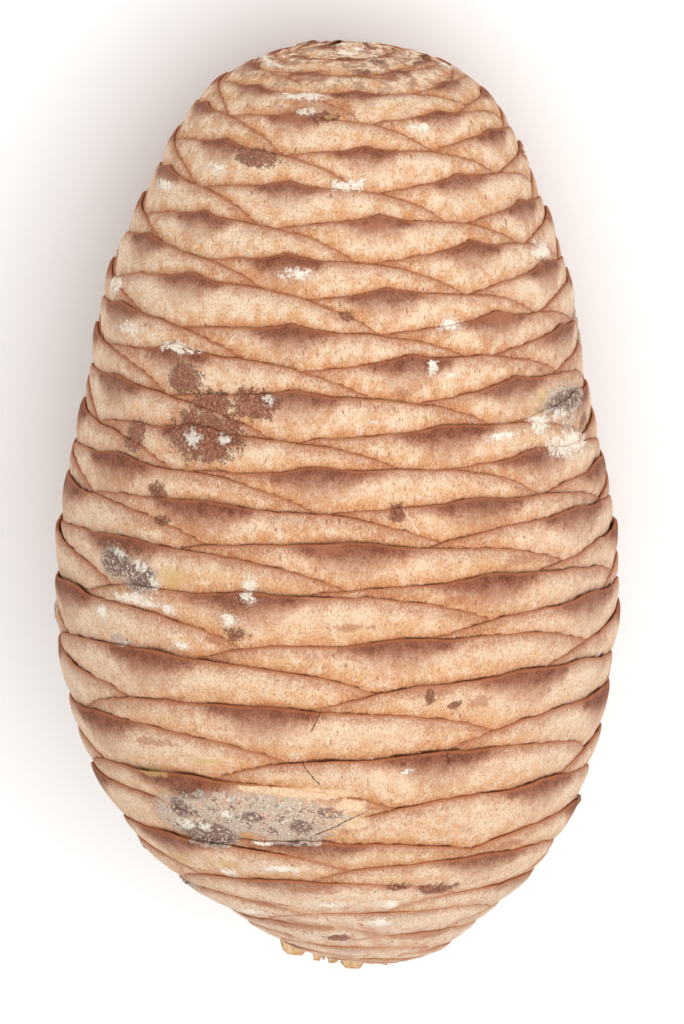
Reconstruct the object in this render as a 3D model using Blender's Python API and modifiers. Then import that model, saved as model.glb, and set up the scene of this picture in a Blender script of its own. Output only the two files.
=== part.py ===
"""A closed cedar cone, as picked, lying on its side.

The cone is modelled upright, apex up, with its front facing -Y, and is then laid down:
its apex points along +Y, its front faces up and its back rests on z = 0. About 170 thin,
broad scales stand on one spiral round the axis. Each scale leans out towards its free
edge, which faces the apex, and covers the foot of the scales above it.
Lengths are in millimetres and angles in degrees, and lengths are turned into metres
where the meshes are made.
"""

import math
import random

import bmesh
import bpy
import numpy as np

MM = 0.001

# The outline: height above the foot along the axis, and radius over the scales' edges
OUTLINE = (
    (-1.1, 0.3), (-0.9, 3.6), (0.2, 7.4), (4.8, 13.3), (10.9, 20.1), (17.0, 23.9), (26.0, 27.0),
    (38.0, 28.3), (47.5, 27.5), (59.7, 24.9), (69.0, 23.3), (78.0, 19.8),
    (84.0, 17.0), (88.2, 14.0), (90.6, 10.5), (92.2, 5.8), (92.9, 0.3),
)
CURVE_POINTS = 600  # how finely the outline is drawn as a curve
# The axis isn't quite straight: height, and how far it bends to the right
BEND = (
    (0.0, 2.4), (5.0, 1.9), (12.0, 0.9), (20.0, 0.1),
    (45.0, -0.2), (70.0, 0.0), (82.0, 0.6), (93.0, 0.8),
)

# The spiral: each scale stands a golden angle on from the last, from the foot up
SCALES = 172
FIRST_ANGLE = 6.2
GOLDEN_ANGLE = 137.508
# Scale number, and how far the whole spiral has twisted by then, in degrees
TWIST = (
    (0, 0.0), (28, 0.0), (58, 3.3), (88, 16.0),
    (118, 35.2), (148, 58.7), (168, 73.4), (188, 89.0),
)
# Scale number, and how far from the foot's middle it stands, measured along the skin
CLIMB = (
    (0, 3.6), (10, 8.2), (28, 25.8), (58, 54.2), (88, 72.4),
    (118, 88.2), (148, 105.1), (160, 111.2), (172, 118.4),
)
# Rings of scales lean on the upper cone, lower on the right: how much, and over which places that grows
LEAN = 1.6
LEAN_GROWS = (48.0, 62.0)
NEXT_ABOVE = 13  # the scale this many further on stands almost straight above
# How far a scale may stand off the spiral: in angle, and along the skin at full size
LOOSE_ANGLE = 1.2
LOOSE_PLACE = 0.2

# The shape of a full-sized scale. Smaller ones keep it, at a size that follows the cone's radius
FULL_SIZE_RADIUS = 27.0
SIZE_POWER = 0.6
RISE = 0.35  # the free edge's height over the scale's place
HUMP = 0.45  # how far the middle of the edge rises further
HUMP_WIDTH = 7.0
DROP = 5.0  # how far the edge has come down at DROP_ANGLE from its middle
DROP_ANGLE = 60.0
SLANT = 0.5  # how far one end of the edge may stand higher than the other
STEP = 0.75  # how far the edge stands over the scale NEXT_ABOVE it
TAIL = 1.25  # its length under the scales below, in steps of NEXT_ABOVE
TAIL_END = 1.0
ROOT_SLOPE = 0.2
FLATS_STOP = 0.8  # a scale's rows of flats end this share of DROP below its place
REACH = 52.0  # to each side
SIDE = 15.0  # one flat of the cone, which has the same corners all the way up
ROOT_DEPTH = 3.4
ROOT_VARIES = 0.8
LOWEST_FOOT = 0.3
HIGHEST_EDGE = 0.8  # down from the skin's far end
SHORTEST_FLAT = 0.3
LEAST_WEDGE = 2.0  # between a scale's end and its nearest corner

# The body under the scales, and the bud at the very tip
CORE_DEPTH = 2.3
STATION_COUNT = 26  # rows of flats along the skin
LEAST_TURNING = 0.004  # keeps some stations on straight stretches
NARROWEST = 0.05
BUD_RADIUS = 4.6
BUD_RISE = 2.8

# The torn end of the axis, and the flakes round it: angle, distance from the axis, width and free length
STUB_RADIUS = 4.2
STUB_FLARE = 1.0
STUB_LENGTH = 1.5
SPLINTERS = (
    (-66, 5.6, 2.8, 1.3),
    (-34, 5.2, 2.2, 1.6),
    (-8, 4.8, 2.6, 1.9),
    (30, 4.0, 2.2, 1.5),
    (120, 3.6, 2.6, 1.5),
    (205, 3.8, 2.2, 1.7),
)
SPLINTER_BASE = 0.7  # half its width in the core, as a share of its width
SPLINTER_END = 0.35
SPLINTER_ROOT = 4.0
SPLINTER_THICKNESS = 1.6
SPLINTER_SPREAD = 14.0

# How it lies
TILT = 8.0  # apex down
BALANCE = 44.5  # height of the balance point above the foot
# How high the balance point lies over the ground, which cuts a flat spot into the back
LYING_HEIGHT = 27.0
GROUND_SIDE = 200.0

SHORTEST_EDGE = 0.003
SEED = 8
SCALE_COLOUR = (0.60, 0.40, 0.25, 1.0)


def smooth(x, knots, values):
    """A smooth curve through (knots, values), read at x, which goes on straight past its ends."""
    knots = np.asarray(knots, float)
    values = np.asarray(values, float)
    slopes = np.gradient(values, knots)
    inside = np.clip(x, knots[0], knots[-1])
    beyond = x - inside
    i = np.clip(np.searchsorted(knots, inside) - 1, 0, len(knots) - 2)
    width = knots[i + 1] - knots[i]
    t = (inside - knots[i]) / width
    start = (2 * t**3 - 3 * t**2 + 1) * values[i] + (t**3 - 2 * t**2 + t) * width * slopes[i]
    end = (3 * t**2 - 2 * t**3) * values[i + 1] + (t**3 - t**2) * width * slopes[i + 1]
    return start + end + beyond * np.where(beyond < 0, slopes[0], slopes[-1])


def bend(height):
    return smooth(height, *zip(*BEND))


def climb(number):
    return smooth(number, *zip(*CLIMB))


def lean(angle, place):
    """How far a scale at this angle and place stands below the level spiral."""
    return LEAN * math.sin(math.radians(angle)) * float(np.interp(place, LEAN_GROWS, (0.0, 1.0)))


def skin_curve():
    """The outline as a curve: length along the skin, height, radius, and the outward normal's two parts."""
    stations = np.array(OUTLINE)
    chord = np.concatenate([[0], np.cumsum(np.hypot(*np.diff(stations, axis=0).T))])
    along = np.linspace(0, chord[-1], CURVE_POINTS)
    height = smooth(along, chord, stations[:, 0])
    radius = smooth(along, chord, stations[:, 1])
    skin = np.concatenate([[0], np.cumsum(np.hypot(np.diff(height), np.diff(radius)))])
    return skin, height, radius, np.gradient(height, skin), -np.gradient(radius, skin)


def skin_stations(count):
    """Places along the skin, closer together where the outline turns more."""
    slope = np.unwrap(np.arctan2(NORMAL_UP, NORMAL_OUT))
    turning = np.concatenate([[0], np.cumsum(np.abs(np.diff(slope)) + LEAST_TURNING)])
    return np.interp(np.linspace(0, turning[-1], count), turning, SKIN)


SKIN, HEIGHT, RADIUS, NORMAL_OUT, NORMAL_UP = skin_curve()
STATIONS = skin_stations(STATION_COUNT)
# Every scale's number, with some past both ends, and its place on the skin
NUMBERS = np.arange(-3 * NEXT_ABOVE, SCALES + 3 * NEXT_ABOVE)
PLACES = climb(NUMBERS)


def skin_point(angle, skin, offset):
    """A point at this angle and this far up the skin, offset outwards, on the upright cone."""
    out = np.interp(skin, SKIN, NORMAL_OUT)
    up = np.interp(skin, SKIN, NORMAL_UP)
    radius = max(np.interp(skin, SKIN, RADIUS) + offset * out, NARROWEST)
    height = np.interp(skin, SKIN, HEIGHT) + offset * up
    turn = math.radians(angle)
    return (
        (bend(height) + radius * math.sin(turn)) * MM,
        -radius * math.cos(turn) * MM,
        height * MM,
    )


def flat_point(angle, skin, offset):
    """The same, but on the flat between two corners of the many-sided cone."""
    corner = math.floor(angle / SIDE)
    share = angle / SIDE - corner
    before = np.array(skin_point(corner * SIDE, skin, offset))
    after = np.array(skin_point((corner + 1) * SIDE, skin, offset))
    return before + share * (after - before)


def size_at(skin):
    """How big scales are at this place on the skin, as a share of a full-sized one."""
    return min(1.0, (np.interp(skin, SKIN, RADIUS) / FULL_SIZE_RADIUS) ** SIZE_POWER)


def stand_off(number, skin):
    """How far a scale's outer face stands over the outline there: a lower scale is always the outer one."""
    level = np.interp(skin, PLACES, NUMBERS)
    return STEP * size_at(skin) * (level - number) / NEXT_ABOVE


def free_edge(place, size, slant, column):
    """How far up the skin a scale's free edge is, at this angle from its middle."""
    hump = HUMP * size * math.exp(-((column / HUMP_WIDTH) ** 2))
    drop = DROP * size * (abs(column) / DROP_ANGLE) ** 3
    edge = place + RISE * size + hump - drop + slant * column / DROP_ANGLE
    return min(edge, SKIN[-1] - HIGHEST_EDGE)


def clear_scene():
    for obj in list(bpy.data.objects):
        bpy.data.objects.remove(obj)


def new_collection(name):
    collection = bpy.data.collections.new(name)
    bpy.context.scene.collection.children.link(collection)
    return collection


def move_to(obj, collection):
    for owner in list(obj.users_collection):
        owner.objects.unlink(obj)
    collection.objects.link(obj)


def new_object(name, bm, collection):
    """An object made of the bmesh, which is then freed."""
    mesh = bpy.data.meshes.new(name)
    bm.to_mesh(mesh)
    bm.free()
    obj = bpy.data.objects.new(name, mesh)
    collection.objects.link(obj)
    return obj


def bake_modifiers(obj):
    """Keeps the shape that the modifiers make, and removes them."""
    bpy.context.view_layer.update()
    graph = bpy.context.evaluated_depsgraph_get()
    shaped = bpy.data.meshes.new_from_object(obj.evaluated_get(graph))
    obj.modifiers.clear()
    obj.data = shaped


def add_scale(number, collection):
    """One scale: a closed wedge lofted across its width, with its root sunk in the core.

    All scales bend at the same angles and stations, so that one that covers another
    lies outside it everywhere.
    """
    draw = random.Random(SEED + number)
    angle = FIRST_ANGLE + GOLDEN_ANGLE * number + smooth(number, *zip(*TWIST))
    place = climb(number)
    spacing = NEXT_ABOVE * (climb(number + 1) - place)
    size = size_at(place)
    angle += draw.uniform(-LOOSE_ANGLE, LOOSE_ANGLE)
    place += draw.uniform(-LOOSE_PLACE, LOOSE_PLACE) * size - lean(angle, place)
    slant = draw.uniform(-SLANT, SLANT) * size
    root = ROOT_DEPTH + draw.uniform(0.0, ROOT_VARIES)
    foot = max(place - TAIL * spacing - TAIL_END, LOWEST_FOOT)
    highest = place - FLATS_STOP * DROP * size
    rows = [station for station in STATIONS if foot + SHORTEST_FLAT < station < highest]
    first = math.ceil((angle - REACH + LEAST_WEDGE) / SIDE)
    last = math.floor((angle + REACH - LEAST_WEDGE) / SIDE)
    corners = [turn * SIDE - angle for turn in range(first, last + 1)]
    bm = bmesh.new()
    rings = []
    for column in (-REACH, *corners, REACH):
        edge = free_edge(place, size, slant, column)
        section = [(skin, stand_off(number, skin)) for skin in (edge, *reversed(rows), foot)]
        section += [(foot - ROOT_SLOPE, -root), (edge, -root)]
        rings.append([bm.verts.new(flat_point(angle + column, *point)) for point in section])
    for ring, following in zip(rings, rings[1:]):
        for i in range(len(ring)):
            j = (i + 1) % len(ring)
            bm.faces.new((ring[i], following[i], following[j], ring[j]))
    bm.faces.new(rings[0])
    bm.faces.new(rings[-1][::-1])
    bmesh.ops.recalc_face_normals(bm, faces=bm.faces)
    new_object(f"scale_{number:03d}", bm, collection)


def add_core(collection):
    """The body that the scales grow from: the outline less CORE_DEPTH, turned round the axis."""
    bm = bmesh.new()
    points = [bm.verts.new(skin_point(90, skin, -CORE_DEPTH)) for skin in reversed(STATIONS)]
    for point in points:
        point.co.x -= bend(point.co.z / MM) * MM
        point.co.y = 0.0
    points[0].co.x = 0.0
    points[-1].co.x = 0.0
    for upper, lower in zip(points, points[1:]):
        bm.edges.new((upper, lower))
    cone = new_object("cone", bm, collection)
    turn = cone.modifiers.new("turn", "SCREW")
    turn.steps = round(360 / SIDE)
    turn.render_steps = turn.steps
    turn.use_merge_vertices = True
    turn.merge_threshold = 0.0001
    bake_modifiers(cone)
    for vertex in cone.data.vertices:
        vertex.co.x += bend(vertex.co.z / MM) * MM
    return cone


def add_bud(collection):
    """The tight bud of scales at the very tip, as one low dome."""
    top = OUTLINE[-1][0]
    bpy.ops.mesh.primitive_uv_sphere_add(
        segments=12,
        ring_count=6,
        radius=BUD_RADIUS * MM,
        location=(bend(top) * MM, 0, (top - BUD_RISE) * MM),
    )
    bud = bpy.context.object
    bud.scale.z = BUD_RISE / BUD_RADIUS
    move_to(bud, collection)


def add_stub(collection):
    """The torn end of the axis, in the middle of the foot."""
    bpy.ops.mesh.primitive_cone_add(
        vertices=11,
        radius1=STUB_RADIUS * MM,
        radius2=(STUB_RADIUS + STUB_FLARE) * MM,
        depth=(STUB_LENGTH + SPLINTER_ROOT) * MM,
        location=(bend(0.0) * MM, 0, 0.5 * (SPLINTER_ROOT - STUB_LENGTH) * MM),
    )
    move_to(bpy.context.object, collection)


def add_splinter(angle, distance, width, length, collection):
    """A flake of torn wood at the foot: a flat, blunt blade that hangs down, its root in the core."""
    turn = math.radians(angle)
    bpy.ops.mesh.primitive_cone_add(
        vertices=4,
        radius1=SPLINTER_BASE * width * MM,
        radius2=SPLINTER_END * width * MM,
        depth=(length + SPLINTER_ROOT) * MM,
    )
    blade = bpy.context.object
    blade.scale.y = SPLINTER_THICKNESS / width
    blade.rotation_euler = (math.radians(180 - SPLINTER_SPREAD), 0, turn)
    blade.location = (
        (bend(0.0) + distance * math.sin(turn)) * MM,
        -distance * math.cos(turn) * MM,
        0.5 * (SPLINTER_ROOT - length) * MM,
    )
    move_to(blade, collection)


def fuse(target, pieces):
    """Joins a collection of pieces to the target in one union, and removes them."""
    union = target.modifiers.new("fuse", "BOOLEAN")
    union.operation = "UNION"
    union.operand_type = "COLLECTION"
    union.collection = pieces
    union.solver = "MANIFOLD"
    bake_modifiers(target)
    for piece in list(pieces.objects):
        bpy.data.objects.remove(piece)
    bpy.data.collections.remove(pieces)


def lay_down(cone):
    """Turns the upright cone onto its back, apex towards +Y and a little down, over the balance point."""
    cone.rotation_euler.x = math.radians(-90 - TILT)
    cone.location.y = -BALANCE * math.cos(math.radians(TILT)) * MM
    cone.location.z = (LYING_HEIGHT + BALANCE * math.sin(math.radians(TILT))) * MM


def cut_flat_spot(cone):
    """Takes off what lies below the ground."""
    side = GROUND_SIDE * MM
    bpy.ops.mesh.primitive_cube_add(size=side, location=(0, 0, -side / 2))
    ground = bpy.context.object
    cut = cone.modifiers.new("flat_spot", "BOOLEAN")
    cut.operation = "DIFFERENCE"
    cut.object = ground
    cut.solver = "MANIFOLD"
    bake_modifiers(cone)
    bpy.data.objects.remove(ground)


def keep_main_body(mesh):
    """Drops the specks and the tiny sealed pockets that a union of so many pieces can leave."""
    bm = bmesh.new()
    bm.from_mesh(mesh)
    bmesh.ops.dissolve_degenerate(bm, edges=bm.edges, dist=SHORTEST_EDGE * MM)
    bmesh.ops.triangulate(bm, faces=bm.faces)
    bodies = []
    waiting = set(bm.faces)
    while waiting:
        front = [waiting.pop()]
        body = list(front)
        while front:
            joints = (edge for edge in front.pop().edges if len(edge.link_faces) == 2)
            around = {face for edge in joints for face in edge.link_faces}
            fresh = around & waiting
            waiting -= fresh
            front += fresh
            body += fresh
        bodies.append(body)
    bodies.sort(key=len)
    scraps = [face for body in bodies[:-1] for face in body]
    bmesh.ops.delete(bm, geom=scraps, context="FACES")
    bm.to_mesh(mesh)
    bm.free()


def centre_over_origin(obj):
    """Moves the finished object so that its box stands centred over the origin."""
    bpy.context.view_layer.update()
    corners = [obj.matrix_world @ vertex.co for vertex in obj.data.vertices]
    for axis in (0, 1):
        places = [corner[axis] for corner in corners]
        obj.location[axis] -= 0.5 * (min(places) + max(places))


def scale_material():
    material = bpy.data.materials.new("cedar_scale")
    material.use_nodes = True
    surface = material.node_tree.nodes["Principled BSDF"]
    surface.inputs["Base Color"].default_value = SCALE_COLOUR
    surface.inputs["Roughness"].default_value = 0.75
    surface.inputs["Metallic"].default_value = 0.0
    return material


def main():
    clear_scene()
    parts = new_collection("cedar_cone")
    repeats = new_collection("scales_and_splinters")
    for number in range(SCALES):
        add_scale(number, repeats)
    for row in SPLINTERS:
        add_splinter(*row, repeats)
    add_stub(repeats)
    add_bud(repeats)
    cone = add_core(parts)
    fuse(cone, repeats)
    lay_down(cone)
    cut_flat_spot(cone)
    keep_main_body(cone.data)
    centre_over_origin(cone)
    cone.data.materials.clear()
    cone.data.materials.append(scale_material())


main()
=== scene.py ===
"""Dresses the cedar cone: every scale as a thin, lipped plate, with its colours and marks.

The cone is worked out upright, in millimetres and degrees, apex up and its front facing
-Y, by the same rules as the solid that it replaces. lying() then turns each point into
the frame. A place on the cone is an angle round its axis and a length up its skin from
the middle of the foot.
"""

import math
import random
from types import SimpleNamespace

import bpy
import numpy as np
from mathutils import Matrix, Vector


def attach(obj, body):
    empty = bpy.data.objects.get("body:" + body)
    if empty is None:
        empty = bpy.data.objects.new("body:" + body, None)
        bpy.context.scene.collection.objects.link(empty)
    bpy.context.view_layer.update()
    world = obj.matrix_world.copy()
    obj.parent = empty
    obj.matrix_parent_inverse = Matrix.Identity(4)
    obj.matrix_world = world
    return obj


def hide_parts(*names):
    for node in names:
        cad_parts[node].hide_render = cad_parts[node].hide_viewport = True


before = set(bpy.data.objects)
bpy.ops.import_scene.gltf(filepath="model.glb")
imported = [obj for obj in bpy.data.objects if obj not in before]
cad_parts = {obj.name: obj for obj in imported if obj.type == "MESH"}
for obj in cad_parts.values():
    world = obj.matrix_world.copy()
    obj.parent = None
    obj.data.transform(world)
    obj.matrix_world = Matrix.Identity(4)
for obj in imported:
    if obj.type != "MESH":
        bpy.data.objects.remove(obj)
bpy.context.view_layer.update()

MM = 0.001

# The outline: height above the foot along the axis, and radius over the scales' edges
OUTLINE = (
    (-1.1, 0.3), (-0.9, 3.6), (0.2, 7.4), (4.8, 13.3), (10.9, 20.1), (17.0, 23.9), (26.0, 27.0),
    (38.0, 28.3), (47.5, 27.5), (59.7, 24.9), (69.0, 23.3), (78.0, 19.8),
    (84.0, 17.0), (88.2, 14.0), (90.6, 10.5), (92.2, 5.8), (92.9, 0.3),
)
# The axis isn't quite straight: height, and how far it bends to the right
BEND = (
    (0.0, 2.4), (5.0, 1.9), (12.0, 0.9), (20.0, 0.1),
    (45.0, -0.2), (70.0, 0.0), (82.0, 0.6), (93.0, 0.8),
)

# The spiral: each scale stands a golden angle on from the last, from the foot up
SCALES = 172
FIRST_ANGLE = 6.2
GOLDEN_ANGLE = 137.508
# Scale number, and how far the whole spiral has twisted by then
TWIST = (
    (0, 0.0), (28, 0.0), (58, 3.3), (88, 16.0),
    (118, 35.2), (148, 58.7), (168, 73.4), (188, 89.0),
)
# Scale number, and its place on the skin
CLIMB = (
    (0, 3.6), (10, 8.2), (28, 25.8), (58, 54.2), (88, 72.4),
    (118, 88.2), (148, 105.1), (160, 111.2), (172, 118.4),
)
# Rings of scales lean on the upper cone, lower on the right: how much, and where that grows
LEAN = 1.6
LEAN_GROWS = (48.0, 62.0)
NEXT_ABOVE = 13
SEED = 8
# Front scales that stand well off the spiral: number, and how far in angle and up the skin
NUDGES = {
    29: (5.5, 0.0), 34: (-10.0, -2.2), 39: (-7.5, -0.3), 47: (-5.0, 0.0), 55: (2.0, 0.0),
    71: (5.0, 0.8), 73: (-3.0, 0.0), 76: (4.5, 0.0), 89: (5.5, 0.0), 99: (-3.0, 0.0),
    112: (0.0, 0.8), 117: (3.5, 0.7), 131: (1.9, -0.8), 136: (2.5, 0.0), 149: (5.0, 0.0),
}
# How far chance moves any scale: its angle, and a full-sized one's place and slant
STRAY_ANGLE = 1.2
STRAY_PLACE = 0.2
STRAY_SLANT = 0.5

# How big scales are: full-sized where the cone's radius is this, and smaller by a power of the radius
FULL_SIZE_RADIUS = 27.0
SIZE_POWER = 0.6
# Scales change from the lower kind to the upper kind over these places on the skin
CHANGE = (55.0, 88.0)

# A full-sized scale's free edge. A pair is its value for the lower kind and for the upper kind
REACH = 66.0  # how far it goes to each side
ENDING = 54.0  # and from how far it sinks away
RISE = 0.25
HUMP = (0.42, 1.0)
HUMP_WIDTH = (7.0, 6.5)
HUMP_POWER = (2.0, 1.2)
DROP = 5.0
DROP_ANGLE = (60.0, 51.0)
DROP_POWER = 3.3
LEVEL_RADIUS = (5.0, 17.0)  # towards the apex, edges that droop become level rings
# Its waves: how high, how long, and where in the noise they are read
WAVES = ((0.2, 7.0, 0), (0.11, 2.3, 50), (0.08, 1.0, 90))
NOISE_STEP = 3.7  # each scale reads its own noise, this far on from the last
TIP_LEFT = 0.6  # no edge comes closer to the apex than this

# How a scale lies over the others
COVERS = 22  # it can cover part of the next 22
STEP = 0.68
SINK = 0.34
END_DROP = 8.0  # how far an end has dropped by the time that it is sunk away
END_BLUR = 3.0
NO_SEAM = 0.7  # far enough from a seam to show none

# A scale's plate
SWELL = 0.46
SWELL_DEPTHS = (1.1, 1.3)  # it swells over this much under its edge, and over the seam
LIP_LEAST = 0.05  # how far the edge stands off, and what chance adds
LIP_CHANCE = 0.06
LIP_LOW = 0.34  # chance adds this too on the lower cone
LIP_DEPTH = 3.5
LIP_ENDS = (26.0, 50.0)
LIP_GROWS = (14.0, 36.0)
LIP_SHRINKS = (60.0, 85.0)
RIDGE = 0.12
RIDGE_WIDTH = 4.5
RIDGE_DEPTH = 2.5
RELIEF = ((0.07, 5.0, 0), (0.05, 1.8, 40), (0.03, 0.9, 80))
CRUMPLED = 3.5  # how much more relief the foot has
CRUMPLED_FADES = (8.0, 26.0)
CRUST_RISE = 0.32
MOULD_RISE = 0.14
TAIL = 0.8  # it runs on under the scales in front by this share of the spacing, and a bit more
TAIL_MORE = 1.5
THICKNESS = 0.34
THIN_OUT = 0.12
COLUMN_WIDTH = 0.5
COLUMNS = (30, 118)
DEPTHS = (0.0, 0.08, 0.2, 0.4, 0.7, 1.1, 1.6, 2.2, 2.9, 3.6, 4.4, 5.2, 6.0, 6.8, 7.8)

# The dome of tiny scales at the apex: its foot, and its first tiny edge and the steps between them
BUD_FOOT = 109.0
BUD_EDGE = 114.6
BUD_STEP = 0.36
BUD_SCALES = 16
BUD_REACH = 100.0
BUD_DEPTH = 0.72
BUD_LEVEL = 0.05
BUD_ROOT = 1.2
BUD_TIP = 0.55  # the very tip stands up by this, from and to these lengths before the skin's end
BUD_TIP_GROWS = (2.2, 0.9)
BUD_COLUMNS = 96
BUD_ROWS = 40

# Flakes of torn wood at the foot: right, back, the angle that each faces, its width, and its end's height
FLAKES = (
    (-4.7, 1.4, -14, 2.6, -0.2), (-2.4, 0.5, 12, 1.0, -0.6), (-0.7, 1.3, -20, 1.5, -1.0),
    (1.3, 0.2, 16, 2.5, -1.35), (2.4, 0.0, 75, 2.4, -0.6), (6.9, 2.6, 60, 2.4, -0.4),
    (0.4, 4.6, 160, 2.2, -0.5),
)
TUFT = 40
TUFT_RADIUS = 4.5
FLAKE_ROOT = 3.5
FLAKE_THICKNESS = 0.45

# Marks on the front, in pixels of the picture: centre, half width and half height
MARKS = {
    "crust": (
        (205, 436, 32, 26), (255, 406, 21, 15), (214, 404, 20, 10), (186, 380, 15, 12), (324, 120, 13, 7),
        (135, 436, 8, 15), (157, 491, 8, 8), (163, 520, 7, 5), (256, 161, 19, 9), (440, 889, 18, 8),
        (430, 696, 5, 7), (455, 706, 7, 4), (397, 513, 8, 8), (347, 318, 6, 5), (337, 942, 12, 6),
        (235, 633, 12, 6), (120, 548, 16, 8), (586, 421, 6, 7), (190, 790, 14, 6), (400, 886, 12, 5),
    ),
    "chalk": (
        (186, 822, 9, 8), (205, 826, 7, 6), (226, 812, 9, 6), (262, 843, 12, 4), (284, 820, 9, 6),
        (353, 188, 26, 7), (297, 277, 20, 7), (300, 98, 24, 7), (306, 114, 12, 6), (137, 599, 26, 7),
        (170, 608, 9, 6), (103, 610, 9, 6), (183, 645, 10, 5), (251, 584, 8, 10), (248, 597, 9, 7),
        (230, 620, 12, 8), (405, 770, 6, 5), (380, 922, 12, 11), (392, 904, 16, 8), (432, 368, 7, 8),
        (452, 378, 5, 5), (370, 425, 7, 5), (541, 422, 11, 12), (559, 415, 8, 7), (572, 443, 23, 13),
        (500, 437, 18, 4), (124, 553, 6, 7), (144, 567, 9, 8), (155, 583, 7, 9), (165, 187, 9, 6),
        (108, 285, 6, 12), (180, 348, 18, 7), (450, 325, 16, 7), (315, 58, 16, 5), (228, 872, 14, 8),
        (280, 868, 30, 5), (225, 440, 6, 8), (195, 440, 9, 10), (270, 400, 6, 6), (420, 130, 16, 5),
        (250, 912, 18, 7), (330, 905, 16, 6), (545, 250, 10, 12), (215, 170, 12, 5), (130, 330, 14, 6),
    ),
    "mould": (
        (250, 813, 84, 24), (182, 816, 27, 25), (207, 832, 30, 17), (293, 838, 34, 9), (141, 576, 16, 17),
        (117, 563, 18, 16), (567, 400, 20, 15), (571, 421, 8, 7), (188, 884, 9, 6), (120, 640, 10, 5),
    ),
    "stain": (
        (207, 833, 30, 15), (180, 806, 10, 13), (253, 815, 14, 7), (301, 826, 13, 10), (330, 811, 14, 8),
        (300, 844, 14, 4), (141, 576, 15, 16), (117, 563, 16, 14), (567, 400, 16, 11), (308, 112, 36, 17),
        (375, 228, 16, 10), (215, 640, 8, 4), (350, 628, 24, 4), (500, 320, 20, 8), (430, 690, 24, 10),
        (150, 740, 22, 5), (170, 700, 14, 5), (455, 600, 12, 5), (300, 930, 34, 14), (265, 905, 24, 7),
        (420, 940, 30, 8), (310, 890, 26, 6), (510, 845, 20, 6), (225, 662, 14, 5), (405, 395, 12, 6),
        (230, 560, 14, 8), (330, 545, 18, 8), (480, 700, 16, 7), (520, 560, 14, 6),
    ),
    "wood": ((268, 789, 34, 4), (312, 793, 46, 6), (350, 805, 18, 8), (345, 822, 26, 8)),
    "ochre": (
        (183, 859, 5, 8), (224, 862, 10, 6), (544, 397, 4, 8), (540, 412, 7, 5), (588, 426, 6, 5),
        (172, 578, 14, 13), (330, 118, 5, 4), (152, 770, 16, 5), (205, 760, 18, 4),
    ),
}
MARK_KINDS = (("crust", "chalk", "mould"), ("stain", "wood", "ochre"))
# Marks elsewhere: kind, how many, and middling size. The second row's are small ones at the apex
OTHER_MARKS = (
    ("crust", 12, 1.6), ("chalk", 36, 1.3), ("mould", 5, 3.0), ("stain", 26, 1.8), ("ochre", 5, 0.8),
)
APEX_MARKS = (("crust", 16), ("chalk", 10))
MARK_TOP = 1.5  # what a mark's field reaches at its middle
# Cracks and one pale scratch: the pixels at both ends, and the width in millimetres
CRACKS = ((322, 709, 310, 732), (302, 760, 322, 787), (446, 748, 447, 762), (313, 836, 372, 809))
SCRATCH = (402, 508, 421, 536)
LINE_WIDTH = 0.10
# The picture's pixels a millimetre, and the pixel under the middle of the foot
PIXELS = 10.0
FOOT_PIXEL = (340.0, 957.0)

# How it lies
TILT = 8.0
FOOT_PLACE = (0.2798, -44.9615, 33.1932)
# The foot's rim isn't level: how much higher it is, and to what height that fades out
FOOT_LIFT = 0.6
FOOT_LIFT_ENDS = 8.0

# The camera looks at the cone's front from a little to the apex side
CAMERA_RISE = 10.4
CAMERA_DISTANCE = 2500.0
CAMERA_AIM = (0.2, 0.0, 45.24)
VIEW_HEIGHT = 102.4
SENSOR_HEIGHT = 24.0

# The studio, in metres and watts
FLOOR_SIDE = 6.0
WORLD_STRENGTH = 0.70
KEY_PLACE = (0.19, 0.08, 0.86)
KEY_SIDE = 1.0
KEY_POWER = 6.7

PIECES = ("scales_foot", "scales_low", "scales_waist", "scales_middle", "scales_upper", "scales_tip")
READS = ("scale_place", "scale_kind", "scale_seam", "on_cone", "marks_one", "marks_two")


def smooth(x, knots, values):
    """A smooth curve through (knots, values), read at x, which goes on straight past its ends."""
    knots = np.asarray(knots, float)
    values = np.asarray(values, float)
    slopes = np.gradient(values, knots)
    inside = np.clip(x, knots[0], knots[-1])
    beyond = x - inside
    i = np.clip(np.searchsorted(knots, inside) - 1, 0, len(knots) - 2)
    width = knots[i + 1] - knots[i]
    t = (inside - knots[i]) / width
    start = (2 * t**3 - 3 * t**2 + 1) * values[i] + (t**3 - 2 * t**2 + t) * width * slopes[i]
    end = (3 * t**2 - 2 * t**3) * values[i + 1] + (t**3 - t**2) * width * slopes[i + 1]
    return start + end + beyond * np.where(beyond < 0, slopes[0], slopes[-1])


def bend(height):
    """How far the axis is to the right at this height."""
    return smooth(height, *zip(*BEND))


def climb(number):
    """How far up the skin the spiral is at this scale."""
    return smooth(number, *zip(*CLIMB))


def skin_curve():
    """The outline as a curve: length along the skin, height, radius, and the outward normal's two parts."""
    stations = np.array(OUTLINE)
    chord = np.concatenate([[0], np.cumsum(np.hypot(*np.diff(stations, axis=0).T))])
    along = np.linspace(0, chord[-1], 600)
    height = smooth(along, chord, stations[:, 0])
    radius = smooth(along, chord, stations[:, 1])
    skin = np.concatenate([[0], np.cumsum(np.hypot(np.diff(height), np.diff(radius)))])
    return skin, height, radius, np.gradient(height, skin), -np.gradient(radius, skin)


SKIN, HEIGHT, RADIUS, NORMAL_OUT, NORMAL_UP = skin_curve()
NUMBERS = np.arange(-3 * NEXT_ABOVE, SCALES + 3 * NEXT_ABOVE)
PLACES = climb(NUMBERS)
CELLS = np.random.default_rng(SEED).uniform(-1, 1, (32, 32, 32))
LYING = Matrix.Translation(Vector(FOOT_PLACE)) @ Matrix.Rotation(math.radians(-90 - TILT), 4, "X")


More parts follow.
